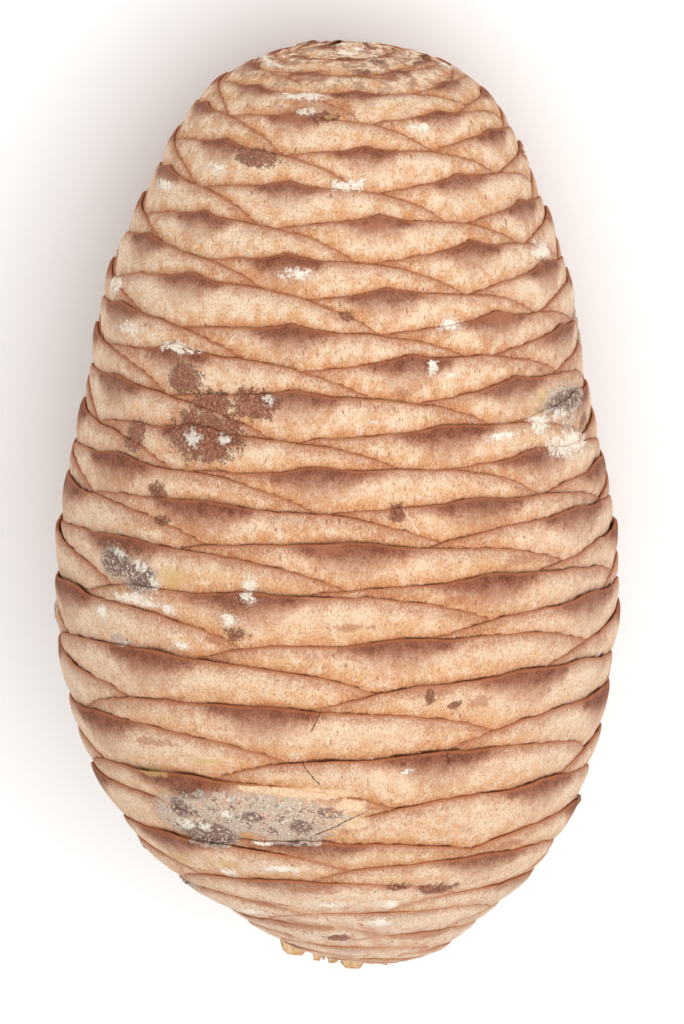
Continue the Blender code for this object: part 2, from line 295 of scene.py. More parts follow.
def lying(points):
    """Points on the upright cone, in millimetres, as points in the frame, in metres.

    None is left below the ground.
    """
    matrix = np.array(LYING)
    turned = points @ matrix[:3, :3].T + matrix[:3, 3]
    return np.maximum(turned, (-np.inf, -np.inf, 0.0)) * MM


def skin_points(angle, skin, offset):
    """Points at these places on the cone, offset outwards."""
    skin = np.clip(skin, SKIN[0], SKIN[-1])
    radius = np.interp(skin, SKIN, RADIUS) + offset * np.interp(skin, SKIN, NORMAL_OUT)
    height = np.interp(skin, SKIN, HEIGHT) + offset * np.interp(skin, SKIN, NORMAL_UP)
    radius = np.maximum(radius, 0.05)
    turn = np.radians(angle)
    height = height + FOOT_LIFT * (1 - 0.5 * np.sin(turn)) * (1 - fade(height, 0.0, FOOT_LIFT_ENDS))
    return np.stack([bend(height) + radius * np.sin(turn), -radius * np.cos(turn), height], axis=-1)


def size_at(skin):
    """How big scales are at this place on the skin, as a share of a full-sized one."""
    return np.minimum(1.0, (np.interp(skin, SKIN, RADIUS) / FULL_SIZE_RADIUS) ** SIZE_POWER)


def stand_off(number, skin):
    """How far a scale's outer face stands over the outline there: a lower scale is always the outer one."""
    level = np.interp(skin, PLACES, NUMBERS)
    return STEP * size_at(skin) * (level - number) / NEXT_ABOVE


def field(points, cell):
    """Smooth random values, between -1 and 1, that change over about this many millimetres."""
    place = points / cell
    whole = np.floor(place)
    t = place - whole
    t = t * t * (3 - 2 * t)
    i, j, k = np.moveaxis(whole.astype(int) % 32, -1, 0)
    total = 0.0
    for a in (0, 1):
        for b in (0, 1):
            for c in (0, 1):
                weight = np.abs(1 - a - t[..., 0]) * np.abs(1 - b - t[..., 1]) * np.abs(1 - c - t[..., 2])
                total = total + weight * CELLS[(i + a) % 32, (j + b) % 32, (k + c) % 32]
    return total


def fade(value, low, high):
    """0 below low, 1 above high, and smooth between."""
    t = np.clip((value - low) / (high - low), 0, 1)
    return t * t * (3 - 2 * t)


def blend(place, pair):
    """A value that changes from the lower kind of scale's to the upper kind's."""
    return pair[0] + (pair[1] - pair[0]) * fade(place, *CHANGE)


def wrapped(angle):
    """The same angle, from -180 to 180."""
    return (angle + 180) % 360 - 180


def scale_draws(number):
    """Where one scale really stands: angle, place, size, spacing to the one above, and slant."""
    place = climb(number)
    spacing = NEXT_ABOVE * (climb(number + 1) - place)
    size = size_at(place)
    draw = random.Random(SEED + number)
    turn, climb_on = NUDGES.get(number, (0.0, 0.0))
    angle = FIRST_ANGLE + GOLDEN_ANGLE * number + smooth(number, *zip(*TWIST)) + turn
    angle += draw.uniform(-STRAY_ANGLE, STRAY_ANGLE)
    place += draw.uniform(-STRAY_PLACE, STRAY_PLACE) * size + climb_on
    place -= LEAN * math.sin(math.radians(angle)) * float(np.interp(place, LEAN_GROWS, (0.0, 1.0)))
    slant = draw.uniform(-STRAY_SLANT, STRAY_SLANT) * size
    return angle, place, size, spacing, slant


def free_edge(number, columns):
    """How far up the skin one scale's free edge is, at these angles from its middle."""
    angle, place, size, spacing, slant = scale_draws(number)
    radius = np.interp(place, SKIN, RADIUS)
    across = np.radians(columns) * radius
    lane = np.stack([across, np.zeros_like(across), np.full_like(across, NOISE_STEP * number)], axis=-1)
    hump = np.exp(-((np.abs(columns) / blend(place, HUMP_WIDTH)) ** blend(place, HUMP_POWER)))
    drop = (np.abs(columns) / blend(place, DROP_ANGLE)) ** DROP_POWER * fade(radius, *LEVEL_RADIUS)
    ragged = sum(height * field(lane + shift, length) for height, length, shift in WAVES)
    edge = place + size * (RISE + blend(place, HUMP) * hump - DROP * drop + ragged) + slant * columns / 60
    return np.minimum(edge, SKIN[-1] - TIP_LEFT)


def covering_edge(number, angles):
    """How far up the skin the scales in front of this one reach, at these angles round the cone.

    Also how far each place is towards the end of the scale in front, where its edge has sunk away.
    """
    cover = np.full(len(angles), -1.0)
    ending = np.ones(len(angles))
    for other in range(number - COVERS, number):
        aside = wrapped(angles - scale_draws(other)[0])
        near = np.flatnonzero(np.abs(aside) < REACH)
        if len(near):
            far = np.abs(aside[near])
            edge = free_edge(other, aside[near]) - END_DROP * fade(far, ENDING - END_BLUR, REACH)
            higher = edge > cover[near]
            cover[near[higher]] = edge[higher]
            ending[near[higher]] = fade(far[higher], ENDING - END_BLUR, ENDING + END_BLUR)
    return cover, ending


def skin_spot(x, y):
    """The angle round the cone and the place on its skin that one pixel of the picture shows."""
    side = (x - FOOT_PIXEL[0]) / PIXELS
    up = (FOOT_PIXEL[1] - y) / PIXELS
    rise = math.radians(CAMERA_RISE)
    height = up
    for attempt in range(12):
        radius = float(np.interp(height, HEIGHT, RADIUS))
        turn = math.asin(min(0.97, max(-0.97, (side - float(bend(height))) / radius)))
        height = (up + radius * math.cos(turn) * math.sin(rise)) / math.cos(rise)
    return math.degrees(turn), float(np.interp(height, HEIGHT, SKIN))


def all_marks():
    """Each mark's kind, angle, place on the skin, and half width and half height in millimetres."""
    marks = []
    for kind, spots in MARKS.items():
        for x, y, half_width, half_height in spots:
            angle, skin = skin_spot(x, y)
            wide = half_width / PIXELS / max(0.35, math.cos(math.radians(angle)))
            marks.append((kind, angle, skin, wide, half_height / PIXELS))
    draw = random.Random(SEED + 900)
    for kind, count, size in OTHER_MARKS:
        for one in range(count):
            wide = size * draw.uniform(0.5, 1.6)
            angle, skin = draw.uniform(80, 280), draw.uniform(10, 112)
            marks.append((kind, angle, skin, wide, wide * draw.uniform(0.3, 0.8)))
    for kind, count in APEX_MARKS:
        for one in range(count):
            marks.append((kind, draw.uniform(0, 360), draw.uniform(111, 120), draw.uniform(0.5, 1.3), 0.5))
    return marks


MARK_LIST = all_marks()


def mark_fields(angles, skin):
    """For each kind of mark, MARK_TOP at the middle of one, 1 less at its rim and 0 away from it."""
    fields = {kind: np.zeros(skin.shape) for row in MARK_KINDS for kind in row}
    radius = np.interp(skin, SKIN, RADIUS)
    lowest, highest = skin.min(), skin.max()
    middle = 0.5 * (angles.min() + angles.max())
    half = 0.5 * (angles.max() - angles.min())
    for kind, angle, place, wide, tall in MARK_LIST:
        margin = half + np.degrees(MARK_TOP * wide / radius.min()) if half < 90 else 360
        level = lowest - MARK_TOP * tall < place < highest + MARK_TOP * tall
        if not level or abs(wrapped(angle - middle)) > margin:
            continue
        far = np.hypot(np.radians(wrapped(angles - angle)) * radius / wide, (skin - place) / tall)
        fields[kind] = np.maximum(fields[kind], np.clip(MARK_TOP - far, 0, MARK_TOP))
    return [np.stack([fields[kind] for kind in row], axis=-1) for row in MARK_KINDS]


def cross_section(tail):
    """One turn round a scale's plate: depth below the edge, share of the thickness, and side.

    The sides are 0 for the outer face, 1 for the rim and 2 for the underside.
    """
    outer = [depth for depth in DEPTHS if depth < tail - 0.5] + [tail]
    section = [(depth, 0.0, 0) for depth in reversed(outer)]
    section += [(-0.05, 0.3, 1), (-0.04, 0.7, 1), (0.12, 1.0, 1)]
    section += [(0.6, 1.0, 2), (2.0, 1.0, 2), (tail, 1.0, 2)]
    return np.array(section).T


def scale_plate(number):
    """One scale's points, as columns from its left end to its right, and what its material reads there."""
    angle, place, size, spacing, slant = scale_draws(number)
    radius = np.interp(place, SKIN, RADIUS)
    width = 2 * math.radians(REACH) * radius
    columns = np.linspace(-REACH, REACH, int(np.clip(width / COLUMN_WIDTH, *COLUMNS)))[:, None]
    depth, share, side = cross_section(TAIL * spacing + TAIL_MORE)
    skin = free_edge(number, columns[:, 0])[:, None] - depth
    cover, ending = covering_edge(number, angle + columns[:, 0])
    seam = np.maximum(skin - cover[:, None], NO_SEAM * ending[:, None])
    angles = angle + columns + 0 * depth
    across = np.radians(columns) * radius + 0 * depth
    spot = skin_points(angles, skin, 0.0)
    marks = mark_fields(angles, skin)
    lane = np.stack([across, 0 * across, 0 * across + NOISE_STEP * number], axis=-1)
    below = np.maximum(depth, 0)

    # The lip stands off more along the lower half of the cone, and least at its two ends
    inner = 1 - fade(np.abs(columns), *LIP_ENDS)
    low = 1 - fade(place, *LIP_SHRINKS)
    loose = LIP_LEAST + (LIP_CHANCE + LIP_LOW * low) * fade(field(lane + 20, 8.0), -0.3, 0.9)
    curl = size * inner * fade(place, *LIP_GROWS) * loose
    lift = curl * np.clip(1 - depth / LIP_DEPTH, 0, 1) ** 2
    under_edge, over_seam = SWELL_DEPTHS
    swell = SWELL * size * (1 - np.exp(-below / under_edge))
    swell = swell * (1 - np.exp(-np.clip(seam, 0, None) / over_seam))
    ridge = RIDGE * size * np.exp(-((across / RIDGE_WIDTH) ** 2) - below / RIDGE_DEPTH) * inner

    # Relief, which is roughest at the foot, and the marks that stand on the skin
    crumpled = 1 + CRUMPLED * (1 - fade(place, *CRUMPLED_FADES))
    broad, middling, fine = (height * field(spot + shift, length) for height, length, shift in RELIEF)
    relief = broad + (middling + fine) * inner
    crusted, chalked, mouldy = np.moveaxis(marks[0], -1, 0)
    crust = CRUST_RISE * fade(crusted, 0.3, 0.8) * (0.6 + 0.7 * field(spot + 9, 0.8))
    mould = MOULD_RISE * fade(np.maximum(chalked, mouldy), 0.4, 0.9) * (1 + field(spot + 19, 0.7))

    sunk = SINK + fade(np.abs(columns), ENDING, REACH)
    offset = stand_off(number, skin) - sunk + lift + swell + ridge + relief * size * crumpled
    offset = offset + np.where(side < 2, crust + mould, 0.0)
    thick = THICKNESS * size**0.5 * (1 + 0.25 * field(lane + 70, 3.0))
    offset = offset - share * thick - np.where(side == 2, THIN_OUT * below, 0.0)

    flat = np.ones(skin.shape)
    draws = [random.Random(1000 * which + number).random() for which in (1, 2)]
    reads = (
        np.stack([across, depth * flat, skin], axis=-1),
        np.stack([draws[0] * flat, draws[1] * flat, side * flat], axis=-1),
        np.stack([seam, size * flat, fade(place, *CHANGE) * flat], axis=-1),
        spot,
        *marks,
    )
    return skin_points(angles, skin, offset), reads


def add_vectors(mesh, name, values):
    """Three numbers for each point of the mesh, for a material to read by this name."""
    layer = mesh.attributes.new(name, "FLOAT_VECTOR", "POINT")
    layer.data.foreach_set("vector", values.astype(np.float32).ravel())


def make_mesh(name, points, polygons):
    """A mesh object from points in the frame and a list of arrays of polygons.

    All of an array's polygons have the same number of corners.
    """
    mesh = bpy.data.meshes.new(name)
    corners = np.concatenate([group.ravel() for group in polygons]).astype(np.int32)
    counts = np.concatenate([np.full(len(group), group.shape[1]) for group in polygons])
    starts = np.concatenate([[0], np.cumsum(counts)[:-1]]).astype(np.int32)
    mesh.vertices.add(len(points))
    mesh.vertices.foreach_set("co", points.astype(np.float32).ravel())
    mesh.loops.add(len(corners))
    mesh.loops.foreach_set("vertex_index", corners)
    mesh.polygons.add(len(starts))
    mesh.polygons.foreach_set("loop_start", starts)
    mesh.update(calc_edges=True)
    mesh.validate()
    mesh.shade_smooth()
    obj = bpy.data.objects.new(name, mesh)
    bpy.context.scene.collection.objects.link(obj)
    return obj


def plates_object(name, plates, atlas):
    """One object of many closed plates, each a grid of points whose rows are rings, in the upright cone.

    The atlas is the columns and rows of cells in the texture map, one cell to a plate.
    """
    faces = {}
    maps = {}
    first = 0
    for number, plate in enumerate(plates):
        rings, ring = plate.shape[:2]
        index = first + np.arange(rings * ring).reshape(rings, ring)
        turned = np.roll(index, -1, axis=1)
        quads = np.stack([index[:-1], index[1:], turned[1:], turned[:-1]], axis=-1).reshape(-1, 4)
        corner = np.array([number % atlas[0], number // atlas[0]])
        u, v = np.meshgrid(np.arange(rings) / (rings - 1), np.arange(ring + 1) / ring, indexing="ij")
        cell = (corner + 0.01 + 0.96 * np.stack([u, v], axis=-1)) / atlas
        around = np.stack([cell[:-1, :-1], cell[1:, :-1], cell[1:, 1:], cell[:-1, 1:]], axis=2)
        end = np.broadcast_to((corner + 0.985) / atlas, (1, ring, 2))
        ends = (index[0][None, ::-1], index[-1][None, :])
        for polygons, mapped in ((quads, around), (ends[0], end), (ends[1], end)):
            faces.setdefault(polygons.shape[1], []).append(polygons)
            maps.setdefault(polygons.shape[1], []).append(mapped.reshape(-1, 2))
        first += rings * ring
    points = np.concatenate([plate.reshape(-1, 3) for plate in plates])
    obj = make_mesh(name, lying(points), [np.concatenate(group) for group in faces.values()])
    places = np.concatenate([mapped for group in maps.values() for mapped in group])
    if len(places) == len(obj.data.loops):
        layer = obj.data.uv_layers.new(name="OFBake")
        layer.uv.foreach_set("vector", places.astype(np.float32).ravel())
    return obj


def scales_piece(name, numbers, material):
    """A run of the spiral's scales as one object."""
    plates, reads = zip(*(scale_plate(number) for number in numbers))
    obj = plates_object(name, plates, (3, 10))
    for key, values in zip(READS, zip(*reads)):
        add_vectors(obj.data, key, np.concatenate([value.reshape(-1, 3) for value in values]))
    obj.data.materials.append(material)
    return obj


def tip_bud(material):
    """The blunt, rough dome of tiny scales at the apex, which closes the last ring of scales."""
    columns, rows = BUD_COLUMNS, BUD_ROWS
    angles = np.linspace(0, 360, columns + 1)[:-1]
    angles, skin = np.meshgrid(angles, np.linspace(BUD_FOOT, SKIN[-1], rows))
    spot = skin_points(angles, skin, 0.0)
    levels = np.zeros(skin.shape)
    nearest = np.full(skin.shape, 3.0)
    for one in range(BUD_SCALES):
        turn = np.abs(wrapped(angles - GOLDEN_ANGLE * one))
        edge = BUD_EDGE + BUD_STEP * one - 1.2 * (turn / 90) ** 2 + 0.5 * np.exp(-turn / 14)
        edge = edge + 0.25 * field(spot + 5 * one, 1.2)
        inside = (skin < edge) & (turn < BUD_REACH)
        levels += np.where(inside, 1.0, 0.0)
        nearest = np.where(inside, np.minimum(nearest, edge - skin), nearest)
    offset = -BUD_DEPTH + BUD_LEVEL * levels + 0.14 * field(spot, 1.0) + 0.12 * field(spot + 30, 0.45)
    offset = offset - BUD_ROOT * (1 - fade(skin, BUD_FOOT, BUD_FOOT + 5))
    offset = offset + BUD_TIP * fade(skin, *(SKIN[-1] - length for length in BUD_TIP_GROWS))
    rings = np.swapaxes(skin_points(angles, skin, offset), 0, 1)
    axis = rings[:, -1].mean(axis=0)
    rings[:, -1] = axis
    points = np.concatenate([rings[:, :-1].reshape(-1, 3), axis[None]])
    index = np.arange(columns * (rows - 1)).reshape(columns, rows - 1)
    turned = np.roll(index, -1, axis=0)
    quads = np.stack([index[:, :-1], turned[:, :-1], turned[:, 1:], index[:, 1:]], axis=-1).reshape(-1, 4)
    fan = np.stack([index[:, -1], turned[:, -1], np.full(columns, len(points) - 1)], axis=-1)
    obj = make_mesh("tip_bud", lying(points), [quads, fan, index[::-1, 0][None]])
    marks = mark_fields(angles, skin)
    flat = np.ones(skin.shape)
    reads = (
        np.stack([7.0 * flat, nearest, skin], axis=-1),
        np.stack([0.3 * flat, 0.5 * flat, 0 * flat], axis=-1),
        np.stack([1.0 + levels, 0.3 * flat, flat], axis=-1),
        spot,
        *marks,
    )
    for key, grid in zip(READS, reads):
        turned_grid = np.swapaxes(grid, 0, 1)
        values = np.concatenate([turned_grid[:, :-1].reshape(-1, 3), turned_grid[0, -1][None]])
        add_vectors(obj.data, key, values)
    obj.data.materials.append(material)
    return obj


def torn_foot():
    """The torn end of the axis: flakes that hang from the foot, and a tuft of broken ends inside it."""
    flakes = list(FLAKES)
    draw = random.Random(SEED + 500)
    for one in range(TUFT):
        facing, distance = draw.uniform(0, 360), draw.uniform(0.5, TUFT_RADIUS)
        right = bend(0.0) + distance * math.sin(math.radians(facing))
        back = -distance * math.cos(math.radians(facing))
        flakes.append((right, back, facing, draw.uniform(0.8, 2.0), draw.uniform(-0.3, 0.2)))
    turns = np.linspace(0, 2 * math.pi, 8, endpoint=False)
    blades = []
    for right, back, facing, width, end in flakes:
        turn = math.radians(facing)
        out = np.array([math.sin(turn), -math.cos(turn), 0])
        along = np.array([math.cos(turn), math.sin(turn), 0])
        slant = draw.uniform(-0.35, 0.35)
        rings = []
        for step in np.linspace(0, 1, 9):
            half = 0.5 * width * (1 - 0.45 * step**12) * (1 + 0.12 * draw.uniform(-1, 1))
            thick = FLAKE_THICKNESS * (1 - 0.6 * step)
            stray = draw.uniform(-0.08, 0.08) * (1 + 2.5 * step**8)
            height = FLAKE_ROOT + (end - FLAKE_ROOT) * step
            middle = np.array([right, back, height]) + along * stray
            ring = middle + half * np.outer(np.cos(turns), along) + thick * np.outer(np.sin(turns), out)
            ring[:, 2] += slant * half * np.cos(turns) * step
            rings.append(ring)
        blades.append(np.array(rings))
    obj = plates_object("torn_foot", blades, (7, 7))
    add_vectors(obj.data, "on_cone", np.concatenate([blade.reshape(-1, 3) for blade in blades]))
    obj.data.materials.append(wood_material())
    return obj


def colour(red, green, blue):
    """A colour as the eye reads it, from 0 to 255, in the linear values of a shader."""
    values = [v / 255 for v in (red, green, blue)]
    return tuple(v / 12.92 if v <= 0.04045 else ((v + 0.055) / 1.055) ** 2.4 for v in values) + (1.0,)


class Shader:
    """Builds a material's nodes in a few words. Lengths in it are millimetres."""

    def __init__(self, name):
        self.material = bpy.data.materials.new(name)
        self.material.use_nodes = True
        self.tree = self.material.node_tree
        self.surface = self.tree.nodes["Principled BSDF"]

    def join(self, socket, value):
        if isinstance(value, bpy.types.NodeSocket):
            self.tree.links.new(value, socket)
        else:
            socket.default_value = value

    def math(self, operation, first, second=0.5):
        node = self.tree.nodes.new("ShaderNodeMath")
        node.operation = operation
        self.join(node.inputs[0], first)
        self.join(node.inputs[1], second)
        return node.outputs[0]

    def times(self, *values):
        total = values[0]
        for value in values[1:]:
            total = self.math("MULTIPLY", total, value)
        return total

    def plus(self, *values):
        total = values[0]
        for value in values[1:]:
            total = self.math("ADD", total, value)
        return total

    def sway(self, noise, size):
        """Noise as a shift of up to about half this size, either way."""
        return self.times(self.plus(noise, -0.5), size)

    def step(self, value, low, high):
        """0 at low and 1 at high, smooth between; low may be the larger."""
        node = self.tree.nodes.new("ShaderNodeMapRange")
        node.interpolation_type = "SMOOTHSTEP"
        self.join(node.inputs["Value"], value)
        self.join(node.inputs["From Min"], low)
        self.join(node.inputs["From Max"], high)
        return node.outputs["Result"]

    def mark(self, value, ragged, low, high):
        """Where a mark shows: ragged at its rim, and nowhere away from it."""
        return self.times(self.step(self.plus(value, ragged), low, high), self.step(value, 0.0, 0.25))

    def mix(self, share, first, second):
        node = self.tree.nodes.new("ShaderNodeMix")
        node.data_type = "RGBA"
        self.join(node.inputs["Factor"], share)
        self.join(node.inputs["A"], first)
        self.join(node.inputs["B"], second)
        return node.outputs["Result"]

    def attribute(self, name):
        node = self.tree.nodes.new("ShaderNodeAttribute")
        node.attribute_name = name
        return node.outputs["Vector"]

    def parts(self, vector):
        node = self.tree.nodes.new("ShaderNodeSeparateXYZ")
        self.join(node.inputs[0], vector)
        return node.outputs

    def vector(self, x, y, z=0.0):
        node = self.tree.nodes.new("ShaderNodeCombineXYZ")
        for socket, value in zip(node.inputs, (x, y, z)):
            self.join(socket, value)
        return node.outputs[0]

    def along(self, vector, direction):
        """How far a vector reaches in a direction."""
        node = self.tree.nodes.new("ShaderNodeVectorMath")
        node.operation = "DOT_PRODUCT"
        self.join(node.inputs[0], vector)
        node.inputs[1].default_value = direction
        return node.outputs["Value"]

    def noise(self, vector, scale, detail=2.0, roughness=0.5):
        """Noise from 0 to 1 whose features are about 1/scale wide."""
        node = self.tree.nodes.new("ShaderNodeTexNoise")
        self.join(node.inputs["Vector"], vector)
        node.inputs["Scale"].default_value = scale
        node.inputs["Detail"].default_value = detail
        node.inputs["Roughness"].default_value = roughness
        return node.outputs["Fac"]

    def bump(self, height, distance):
        """Relief of this height, in millimetres, where height goes from 0 to 1."""
        node = self.tree.nodes.new("ShaderNodeBump")
        node.inputs["Distance"].default_value = distance * MM
        self.join(node.inputs["Height"], height)
        self.join(self.surface.inputs["Normal"], node.outputs[0])


CREAM = colour(250, 225, 195)
TAN = colour(234, 194, 157)
PEACH = colour(224, 174, 135)
WARM_SHADE = colour(226, 170, 118)
ORANGE_SHADE = colour(206, 132, 78)
BROWN = colour(142, 88, 60)
SMUDGE = colour(142, 80, 54)
SMUDGE_DARK = colour(102, 52, 34)
BAND = colour(176, 112, 80)
LIP = colour(178, 106, 66)
DARK = colour(84, 42, 20)
PALE_GAP_SHADE = colour(146, 84, 50)
DUSTY_SHEEN = colour(244, 220, 194)
PINK = colour(216, 166, 144)
CRUST = colour(154, 92, 66)
CRUST_DARK = colour(94, 48, 30)
CRUST_PALE = colour(218, 168, 140)
CHALK = colour(255, 242, 224)
MOULD = colour(202, 182, 164)
MOULD_DARK = colour(116, 84, 78)
MOULD_PALE = colour(246, 230, 206)
PALE_WOOD = colour(248, 218, 180)
OCHRE = colour(216, 178, 116)
WOOD_DARK = colour(206, 160, 112)
WOOD_PALE = colour(240, 206, 160)
# Fine relief of the scales and of the torn wood, in millimetres
SKIN_RELIEF = 0.17
WOOD_RELIEF = 0.2


def line_mask(s, spot, wander, ends):
    """1 on a thin line on the front, between two pixels of the picture."""
    rise = math.radians(CAMERA_RISE)
    up = Vector((0, math.sin(rise), math.cos(rise)))
    start, end = (
        Vector(((x - FOOT_PIXEL[0]) / PIXELS, (FOOT_PIXEL[1] - y) / PIXELS)) for x, y in (ends[:2], ends[2:])
    )
    run = end - start
    across = Vector((-run.y, run.x)).normalized()

    def in_front(direction):
        return tuple(Vector((direction.x, 0, 0)) + up * direction.y)

    side = s.plus(s.along(spot, in_front(across)), -across.dot(start), wander)
    share = s.along(spot, in_front(run / run.length_squared))
    share = s.plus(share, -run.dot(start) / run.length_squared)
    front = s.step(s.along(spot, (0, -1, 0)), 5.0, 6.0)
    line = s.step(s.math("ABSOLUTE", side), LINE_WIDTH, 0.3 * LINE_WIDTH)
    return s.times(line, s.step(share, 0.0, 0.08), s.step(share, 1.0, 0.8), front)


def scale_values(s):
    """What each point of a scale brings to its material, and the noises that its colours are made of."""
    here = SimpleNamespace()
    here.across, here.below, here.skin = s.parts(s.attribute("scale_place"))
    lane, here.draw, here.side = s.parts(s.attribute("scale_kind"))
    here.seam, here.size, here.upper = s.parts(s.attribute("scale_seam"))
    here.crust, here.chalk, here.mould = s.parts(s.attribute("marks_one"))
    here.stain, here.wood, here.ochre = s.parts(s.attribute("marks_two"))
    here.spot = s.attribute("on_cone")
    here.foot = s.step(here.skin, 30.0, 16.0)
    lane = s.times(lane, 90.0)
    flat = s.vector(here.across, here.skin, lane)
    here.strands = s.vector(here.across, s.times(here.skin, 0.3), lane)
    here.coarse = s.noise(here.spot, 0.2, 2.0, 0.55)
    here.blotch = s.noise(flat, 0.75, 3.0, 0.6)
    here.grain = s.noise(flat, 2.3, 3.0, 0.7)
    here.stipple = s.noise(s.vector(here.across, s.times(here.skin, 0.55), lane), 6.0, 3.0, 0.85)
    here.streaks = s.noise(here.strands, 4.5, 2.0, 0.6)
    here.patches = s.noise(here.spot, 1.1, 4.0, 0.72)
    here.fine = s.noise(here.spot, 3.6, 3.0, 0.8)
    return here


def skin_colour(s, here):
    """Dusty tan, paler up the cone and pinker at the foot, with painted orange shade near each seam, a
    painted highlight away from it and painted sheen on the cone's sides.
    """
    tone = s.step(s.plus(here.coarse, s.sway(here.blotch, 0.5)), 0.36, 0.62)
    body = s.mix(tone, TAN, PEACH)
    pink = s.step(s.plus(here.coarse, s.sway(here.blotch, 1.2)), 0.2, 0.7)
    body = s.mix(s.times(here.foot, pink, 0.85), body, PINK)
    # Painted shade: orange near each seam, where the scale goes under the one in front, as light bounced
    # between the scales looks
    warm_seam_shade = s.step(s.plus(here.seam, s.sway(here.blotch, 2.0)), 3.0, 0.4)
    body = s.mix(s.times(warm_seam_shade, s.plus(0.6, s.times(here.foot, -0.5))), body, WARM_SHADE)
    # Painted highlight: the cream is stronger away from the seam, on the swell of each scale
    pillow_highlight = s.times(s.step(here.seam, 0.8, 3.2), 0.12)
    dust = s.plus(here.blotch, pillow_highlight, s.times(here.upper, 0.06), s.times(here.foot, 0.08))
    # Up the cone the extra cream is the scales' own bloom; at the foot it is partly painted light, making up
    # for the light that falls off where the skin faces down
    strength = s.plus(0.55, s.times(here.upper, 0.2), s.times(here.foot, 0.25))
    body = s.mix(s.times(s.step(dust, 0.44, 0.70), strength), body, CREAM)
    body = s.mix(s.times(s.step(here.streaks, 0.5, 0.70), 0.45), body, PEACH)
    # Painted shade: a deeper orange right at the seam
    orange_seam_shade = s.step(s.plus(here.seam, s.sway(here.blotch, 1.0)), 1.2, 0.0)
    body = s.mix(s.times(orange_seam_shade, s.plus(0.74, s.times(here.foot, -0.5))), body, ORANGE_SHADE)
    # Painted sheen: the cone's sides, as the camera sees them, are paler, as dust looks in grazing light
    flank_sheen = s.step(s.math("ABSOLUTE", s.parts(here.spot)[0]), 13.0, 27.0)
    return s.mix(s.times(flank_sheen, s.plus(0.2, s.times(here.blotch, 0.5))), body, DUSTY_SHEEN)


def edge_colours(s, here, body):
    """The reddish band under the edge and the felty smudge at its middle, and how strong the smudge is."""
    aside = s.math("DIVIDE", here.across, here.size)
    spread = s.plus(26.0, s.times(here.upper, -12.0))
    middle = s.math("POWER", math.e, s.math("DIVIDE", s.times(aside, aside, -1.0), spread))
    depth = s.math("DIVIDE", here.below, here.size)
    soft = s.plus(depth, s.sway(here.blotch, 0.9), s.sway(here.stipple, 0.7))
    band = s.step(s.math("DIVIDE", soft, s.plus(0.6, s.times(here.coarse, 1.9))), 1.1, 0.0)
    shade = s.mix(s.times(band, s.plus(0.72, s.times(here.foot, -0.3))), body, BAND)
    reach = s.plus(0.4, s.times(middle, s.plus(3.6, s.times(here.draw, 0.5))))
    fall = s.math("DIVIDE", s.plus(soft, s.sway(here.grain, 1.2)), reach)
    smudge = s.times(s.step(fall, 1.25, 0.15), s.step(middle, 0.02, 0.4))
    smudge = s.times(smudge, s.plus(1.0, s.times(here.foot, -0.75)))
    dark = s.step(s.plus(here.stipple, s.sway(here.blotch, 0.6)), 0.52, 0.36)
    felt = s.mix(s.step(fall, 0.75, 0.1), BAND, s.mix(dark, SMUDGE, SMUDGE_DARK))
    return s.mix(s.times(smudge, s.plus(0.88, s.times(here.draw, 0.1))), shade, felt), smudge


def stippled(s, here, shade, smudge):
    """Brown in the hollows, painted highlights on the raised grain, dark specks, and the brown of tiny
    scales at the apex.
    """
    pits = s.step(here.stipple, 0.49, 0.37)
    shade = s.mix(s.times(pits, s.plus(0.54, s.times(smudge, -0.4))), shade, BROWN)
    # Painted highlights: where the fine relief stands up, near white, as where it catches the light
    grain_highlights = s.step(s.plus(here.stipple, s.sway(here.blotch, 0.2)), 0.52, 0.63)
    strength = s.plus(0.38, s.times(smudge, -0.3), s.times(here.foot, 0.1))
    shade = s.mix(s.times(grain_highlights, strength), shade, CREAM)
    shade = s.mix(s.times(s.step(here.grain, 0.40, 0.28), 0.35), shade, BAND)
    specks = s.step(s.noise(here.strands, 3.4, 1.0, 0.4), 0.70, 0.77)
    shade = s.mix(s.times(specks, 0.7), shade, BROWN)
    tiny_scales = s.step(s.plus(s.noise(here.spot, 0.75, 3.0, 0.6), s.sway(here.grain, 0.3)), 0.47, 0.60)
    return s.mix(s.times(s.step(here.skin, 104.0, 112.0), tiny_scales, 0.6), shade, SMUDGE)


def seam_colours(s, here, shade):
    """The thin rust lip, painted shade in the crevice where a scale meets the one in front, and the
    underside.
    """
    lip = s.step(s.plus(here.below, s.sway(here.grain, 0.35)), 0.30, 0.06)
    strength = s.plus(0.15, s.times(here.blotch, 0.9), s.times(here.foot, -0.3))
    shade = s.mix(s.times(lip, strength), shade, LIP)
    # Painted shade: a dark line in the crevice where the scale goes under the one in front, paler up the
    # cone and at the foot
    gap_shade = s.step(s.plus(here.seam, s.sway(here.grain, 0.35), s.times(here.foot, 0.08)), 0.30, 0.04)
    strength = s.times(s.step(here.coarse, 0.3, 0.5), s.plus(0.92, s.times(here.foot, -0.45)))
    shade = s.mix(s.times(gap_shade, strength), shade, s.mix(s.plus(here.upper, here.foot), DARK, PALE_GAP_SHADE))
    shade = s.mix(s.times(s.step(here.side, 0.5, 1.0), 0.8), shade, LIP)
    return s.mix(s.step(here.side, 1.4, 2.0), shade, DARK)


